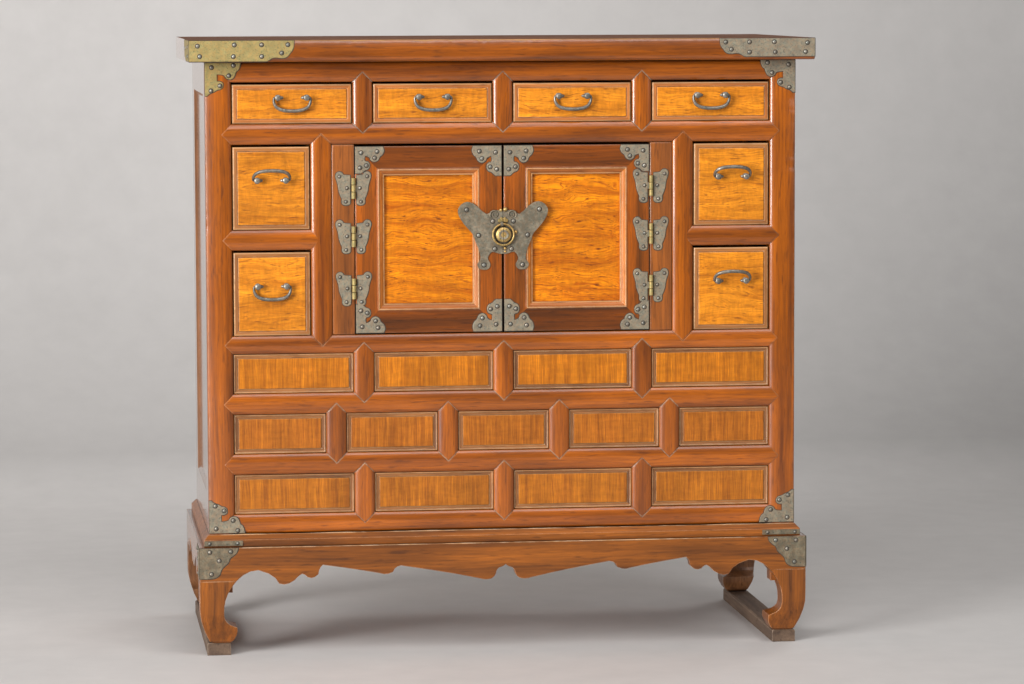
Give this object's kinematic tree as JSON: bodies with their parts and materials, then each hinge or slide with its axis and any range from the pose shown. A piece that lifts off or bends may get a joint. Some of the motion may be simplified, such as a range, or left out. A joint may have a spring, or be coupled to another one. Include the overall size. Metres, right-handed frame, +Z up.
{
  "type": "cupboard",
  "caption": "Low cupboard on a scalloped stand, with a row of drawers under the top, a pair of doors between side drawers, and panelled front below.",
  "frame": {"origin": "on the floor, under the middle of the top board", "axes": "+X to the right as seen from the front, +Y to the back, +Z up; the doors face -Y"},
  "size_m": [0.9406, 0.481, 0.9201],
  "materials": {
    "frame_wood": "oiled red-brown, worn at the edges",
    "door_wood": "oiled dark brown",
    "panel_wood": "oiled golden, figured",
    "drawer_wood": "oiled golden, worn at the edges",
    "case_wood": "aged brown",
    "stand_wood": "oiled red-brown, scratched",
    "runner_wood": "worn grey-brown",
    "aged_brass": "tarnished",
    "bright_brass": "handled bright"
  },
  "bodies": {
    "case": {"top_board": "frame_wood", "back_panel": "case_wood", "top_rail": "frame_wood", "drawer_rail": "frame_wood", "waist_rail": "frame_wood", "row_rail_upper": "frame_wood", "row_rail_lower": "frame_wood", "bottom_rail": "frame_wood", "corner_post_left": "frame_wood", "inner_post_left": "frame_wood", "hinge_stile_left": "frame_wood", "drawer_shelf_left": "frame_wood", "drawer_case_left": "case_wood", "side_left": "case_wood", "corner_post_right": "frame_wood", "inner_post_right": "frame_wood", "hinge_stile_right": "frame_wood", "drawer_shelf_right": "frame_wood", "drawer_case_right": "case_wood", "side_right": "case_wood", "top_mullion_1": "frame_wood", "top_mullion_2": "frame_wood", "top_mullion_3": "frame_wood", "panel_row_upper": "panel_wood", "panel_row_middle": "panel_wood", "panel_row_lower": "panel_wood", "stand_belt": "stand_wood", "apron_front": "stand_wood", "apron_back": "stand_wood", "apron_left": "stand_wood", "apron_right": "stand_wood", "leg_front_left": "stand_wood", "leg_front_right": "stand_wood", "leg_back_left": "stand_wood", "leg_back_right": "stand_wood", "runner_left": "runner_wood", "runner_right": "runner_wood"},
    "door_left": {"door_frame_left": "door_wood", "door_panel_left": "panel_wood", "lock_plate_left": "aged_brass"},
    "door_right": {"door_frame_right": "door_wood", "door_panel_right": "panel_wood", "lock_plate_right": "aged_brass"},
    "ring": {"lock_ring": "bright_brass"},
    "drawer_top_1_body": {"drawer_top_1": "drawer_wood"},
    "bail_top_1_body": {"bail_top_1": "aged_brass"},
    "drawer_top_2_body": {"drawer_top_2": "drawer_wood"},
    "bail_top_2_body": {"bail_top_2": "aged_brass"},
    "drawer_top_3_body": {"drawer_top_3": "drawer_wood"},
    "bail_top_3_body": {"bail_top_3": "aged_brass"},
    "drawer_top_4_body": {"drawer_top_4": "drawer_wood"},
    "bail_top_4_body": {"bail_top_4": "aged_brass"},
    "drawer_left_upper_body": {"drawer_left_upper": "drawer_wood"},
    "bail_left_upper_body": {"bail_left_upper": "aged_brass"},
    "drawer_left_lower_body": {"drawer_left_lower": "drawer_wood"},
    "bail_left_lower_body": {"bail_left_lower": "aged_brass"},
    "drawer_right_upper_body": {"drawer_right_upper": "drawer_wood"},
    "bail_right_upper_body": {"bail_right_upper": "aged_brass"},
    "drawer_right_lower_body": {"drawer_right_lower": "drawer_wood"},
    "bail_right_lower_body": {"bail_right_lower": "aged_brass"}
  },
  "joints": [
    {"name": "door_left_hinge", "type": "hinge", "parent": "case", "child": "door_left", "pos_m": [-0.2243, -0.2065, 0.6225], "axis": [0, 0, -1], "range_deg": [0, 100]},
    {"name": "door_right_hinge", "type": "hinge", "parent": "case", "child": "door_right", "pos_m": [0.2243, -0.2065, 0.6225], "axis": [0, 0, 1], "range_deg": [0, 100]},
    {"name": "lock_ring_swing", "type": "hinge", "parent": "door_left", "child": "ring", "pos_m": [0, -0.2089, 0.6437], "axis": [-1, 0, 0], "range_deg": [-3, 170]},
    {"name": "drawer_top_1_slide", "type": "slide", "parent": "case", "child": "drawer_top_1_body", "axis": [0, -1, 0], "range_m": [0, 0.26]},
    {"name": "drawer_top_2_slide", "type": "slide", "parent": "case", "child": "drawer_top_2_body", "axis": [0, -1, 0], "range_m": [0, 0.26]},
    {"name": "drawer_top_3_slide", "type": "slide", "parent": "case", "child": "drawer_top_3_body", "axis": [0, -1, 0], "range_m": [0, 0.26]},
    {"name": "drawer_top_4_slide", "type": "slide", "parent": "case", "child": "drawer_top_4_body", "axis": [0, -1, 0], "range_m": [0, 0.26]},
    {"name": "drawer_left_upper_slide", "type": "slide", "parent": "case", "child": "drawer_left_upper_body", "axis": [0, -1, 0], "range_m": [0, 0.26]},
    {"name": "drawer_left_lower_slide", "type": "slide", "parent": "case", "child": "drawer_left_lower_body", "axis": [0, -1, 0], "range_m": [0, 0.26]},
    {"name": "drawer_right_upper_slide", "type": "slide", "parent": "case", "child": "drawer_right_upper_body", "axis": [0, -1, 0], "range_m": [0, 0.26]},
    {"name": "drawer_right_lower_slide", "type": "slide", "parent": "case", "child": "drawer_right_lower_body", "axis": [0, -1, 0], "range_m": [0, 0.26]},
    {"name": "bail_top_1_swing", "type": "hinge", "parent": "drawer_top_1_body", "child": "bail_top_1_body", "pos_m": [-0.315, -0.2125, 0.83465], "axis": [-1, 0, 0], "range_deg": [-10, 180]},
    {"name": "bail_top_2_swing", "type": "hinge", "parent": "drawer_top_2_body", "child": "bail_top_2_body", "pos_m": [-0.105, -0.2125, 0.83465], "axis": [-1, 0, 0], "range_deg": [-10, 180]},
    {"name": "bail_top_3_swing", "type": "hinge", "parent": "drawer_top_3_body", "child": "bail_top_3_body", "pos_m": [0.105, -0.2125, 0.83465], "axis": [-1, 0, 0], "range_deg": [-10, 180]},
    {"name": "bail_top_4_swing", "type": "hinge", "parent": "drawer_top_4_body", "child": "bail_top_4_body", "pos_m": [0.315, -0.2125, 0.83465], "axis": [-1, 0, 0], "range_deg": [-10, 180]},
    {"name": "bail_left_upper_swing", "type": "hinge", "parent": "drawer_left_upper_body", "child": "bail_left_upper_body", "pos_m": [-0.34675, -0.2125, 0.71215], "axis": [-1, 0, 0], "range_deg": [-150, 40]},
    {"name": "bail_left_lower_swing", "type": "hinge", "parent": "drawer_left_lower_body", "child": "bail_left_lower_body", "pos_m": [-0.34675, -0.2125, 0.55465], "axis": [-1, 0, 0], "range_deg": [-10, 180]},
    {"name": "bail_right_upper_swing", "type": "hinge", "parent": "drawer_right_upper_body", "child": "bail_right_upper_body", "pos_m": [0.34675, -0.2125, 0.71215], "axis": [-1, 0, 0], "range_deg": [-150, 40]},
    {"name": "bail_right_lower_swing", "type": "hinge", "parent": "drawer_right_lower_body", "child": "bail_right_lower_body", "pos_m": [0.34675, -0.2125, 0.55465], "axis": [-1, 0, 0], "range_deg": [-150, 40]}
  ]
}
